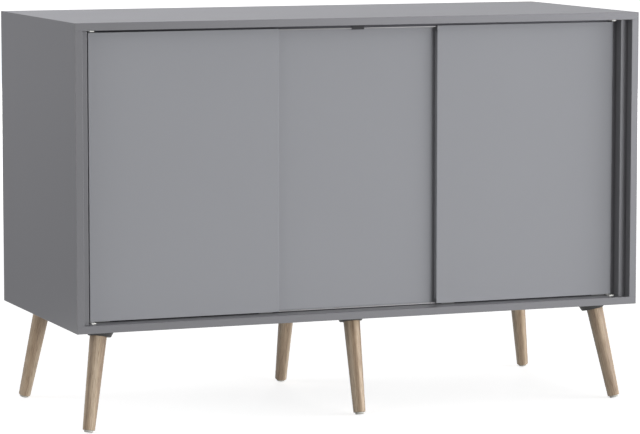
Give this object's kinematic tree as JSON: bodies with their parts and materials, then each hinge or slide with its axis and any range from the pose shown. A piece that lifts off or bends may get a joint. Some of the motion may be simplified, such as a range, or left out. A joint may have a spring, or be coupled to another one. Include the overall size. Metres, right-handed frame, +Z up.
{
  "type": "sliding door cabinet",
  "caption": "Low lacquered board cabinet on splayed tapered round wooden legs; flat doors without handles slide past each other on T rails to open shelved compartments.",
  "frame": {"origin": "on the floor, under the centre of the carcass", "axes": "+X along the width, towards the right seen from the front; +Y from the front to the back; +Z up"},
  "size_m": [1.2, 0.517, 0.8],
  "materials": {
    "grey_lacquer": "matt grey lacquer on board",
    "door_lacquer": "matt grey lacquer on board",
    "hardboard": "grey faced hardboard",
    "leg_wood": "satin clear lacquer",
    "dowel_wood": "plain beech",
    "rail_aluminium": "drawn, satin",
    "white_nylon": "moulded",
    "black_plastic": "fine moulded grain",
    "foot_plastic": "moulded",
    "zinc_steel": "bright zinc"
  },
  "bodies": {
    "cabinet": {"top_board": "grey_lacquer", "bottom_board": "grey_lacquer", "side_left": "grey_lacquer", "side_right": "grey_lacquer", "stile_left": "grey_lacquer", "stile_right": "grey_lacquer", "closing_strip_left": "grey_lacquer", "closing_strip_right": "grey_lacquer", "divider_left": "grey_lacquer", "divider_right": "grey_lacquer", "shelf_left": "grey_lacquer", "shelf_centre": "grey_lacquer", "shelf_right": "grey_lacquer", "back_left": "hardboard", "back_centre": "hardboard", "back_right": "hardboard", "lower_rail_front": "rail_aluminium", "lower_rail_rear": "rail_aluminium", "upper_rail_front": "rail_aluminium", "upper_rail_rear": "rail_aluminium", "lower_rail_end_plates": "white_nylon", "upper_rail_end_plates": "white_nylon", "centre_stop": "white_nylon", "leg_front_left": "leg_wood", "leg_front_middle": "leg_wood", "leg_front_right": "leg_wood", "leg_rear_left": "leg_wood", "leg_rear_middle": "leg_wood", "leg_rear_right": "leg_wood", "leg_disc_front_left": "black_plastic", "leg_disc_front_middle": "black_plastic", "leg_disc_front_right": "black_plastic", "leg_disc_rear_left": "black_plastic", "leg_disc_rear_middle": "black_plastic", "leg_disc_rear_right": "black_plastic", "foot_glide_front_left": "foot_plastic", "foot_glide_front_middle": "foot_plastic", "foot_glide_front_right": "foot_plastic", "foot_glide_rear_left": "foot_plastic", "foot_glide_rear_middle": "foot_plastic", "foot_glide_rear_right": "foot_plastic", "end_plate_screws": "zinc_steel", "hanger_bolts": "zinc_steel", "leg_disc_screws": "zinc_steel", "cam_bolts": "zinc_steel", "cam_discs": "zinc_steel", "back_nails": "zinc_steel", "shelf_pins": "zinc_steel", "dowels": "dowel_wood"},
    "door_left_leaf": {"door_left": "door_lacquer", "door_left_glides": "white_nylon", "door_left_guides": "white_nylon"},
    "door_centre_leaf": {"door_centre": "door_lacquer", "door_centre_glides": "white_nylon", "door_centre_guides": "white_nylon"},
    "door_right_leaf": {"door_right": "door_lacquer", "door_right_glides": "white_nylon", "door_right_guides": "white_nylon"}
  },
  "joints": [
    {"name": "door_left_slide", "type": "slide", "parent": "cabinet", "child": "door_left_leaf", "axis": [1, 0, 0], "range_m": [0, 0.168]},
    {"name": "door_centre_slide", "type": "slide", "parent": "cabinet", "child": "door_centre_leaf", "axis": [1, 0, 0], "range_m": [-0.365, 0.365]},
    {"name": "door_right_slide", "type": "slide", "parent": "cabinet", "child": "door_right_leaf", "axis": [1, 0, 0], "range_m": [-0.168, 0]}
  ]
}
